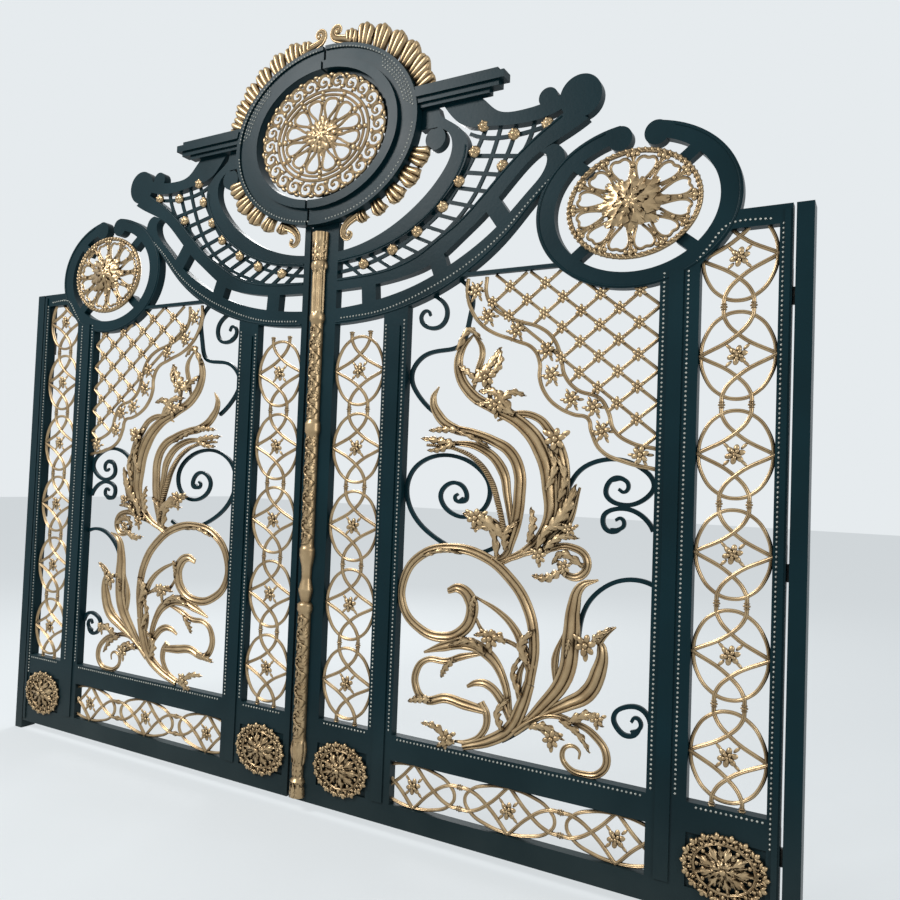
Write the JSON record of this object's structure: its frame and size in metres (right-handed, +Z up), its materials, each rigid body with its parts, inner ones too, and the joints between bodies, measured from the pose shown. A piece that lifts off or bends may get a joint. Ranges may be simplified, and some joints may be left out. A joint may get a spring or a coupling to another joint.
{
  "type": "double-leaf driveway gate",
  "caption": "Wrought iron double-leaf driveway gate on two posts, with an oval crown, side rings and gold leaf ornament; both leaves swing on barrel hinges.",
  "frame": {"origin": "centre of the flat foot face of the left post, at ground level", "axes": "+X along the gate towards the right post, +Y behind the gate, the side to which the leaves open, +Z up"},
  "size_m": [4, 0.13, 3.4532],
  "materials": {
    "dark_paint": "gloss",
    "antique_gold": "satin",
    "hinge_steel": "satin"
  },
  "bodies": {
    "posts": {"left_post": "dark_paint", "right_post": "dark_paint", "left_post_hinges": "hinge_steel", "right_post_hinges": "hinge_steel"},
    "left_leaf": {"left_stiles": "dark_paint", "left_rails": "dark_paint", "left_kick_plates": "dark_paint", "left_kick_rosettes": "antique_gold", "left_kick_chain": "antique_gold", "left_outer_chain": "antique_gold", "left_inner_chain": "antique_gold", "left_side_ring": "dark_paint", "left_side_rosette": "antique_gold", "left_outer_arc": "dark_paint", "left_middle_band": "dark_paint", "left_inner_band": "dark_paint", "left_net_band": "dark_paint", "left_cornice": "dark_paint", "left_ring_half": "dark_paint", "left_cresting": "antique_gold", "left_corner_lattice": "antique_gold", "left_main_scroll": "antique_gold", "left_black_scrolls": "dark_paint", "left_leaf_hinges": "hinge_steel"},
    "right_leaf": {"right_stiles": "dark_paint", "right_rails": "dark_paint", "right_kick_plates": "dark_paint", "right_kick_rosettes": "antique_gold", "right_kick_chain": "antique_gold", "right_outer_chain": "antique_gold", "right_inner_chain": "antique_gold", "right_side_ring": "dark_paint", "right_side_rosette": "antique_gold", "right_outer_arc": "dark_paint", "right_middle_band": "dark_paint", "right_inner_band": "dark_paint", "right_net_band": "dark_paint", "right_cornice": "dark_paint", "right_ring_half": "dark_paint", "right_cresting": "antique_gold", "right_corner_lattice": "antique_gold", "right_main_scroll": "antique_gold", "right_black_scrolls": "dark_paint", "right_leaf_hinges": "hinge_steel", "centre_rosette": "antique_gold", "column": "antique_gold"}
  },
  "joints": [
    {"name": "left_leaf_swing", "type": "hinge", "parent": "posts", "child": "left_leaf", "pos_m": [0.051, 0.016, 1.2], "axis": [0, 0, 1], "range_deg": [0, 90]},
    {"name": "right_leaf_swing", "type": "hinge", "parent": "posts", "child": "right_leaf", "pos_m": [3.895, 0.016, 1.2], "axis": [0, 0, -1], "range_deg": [0, 90]}
  ]
}
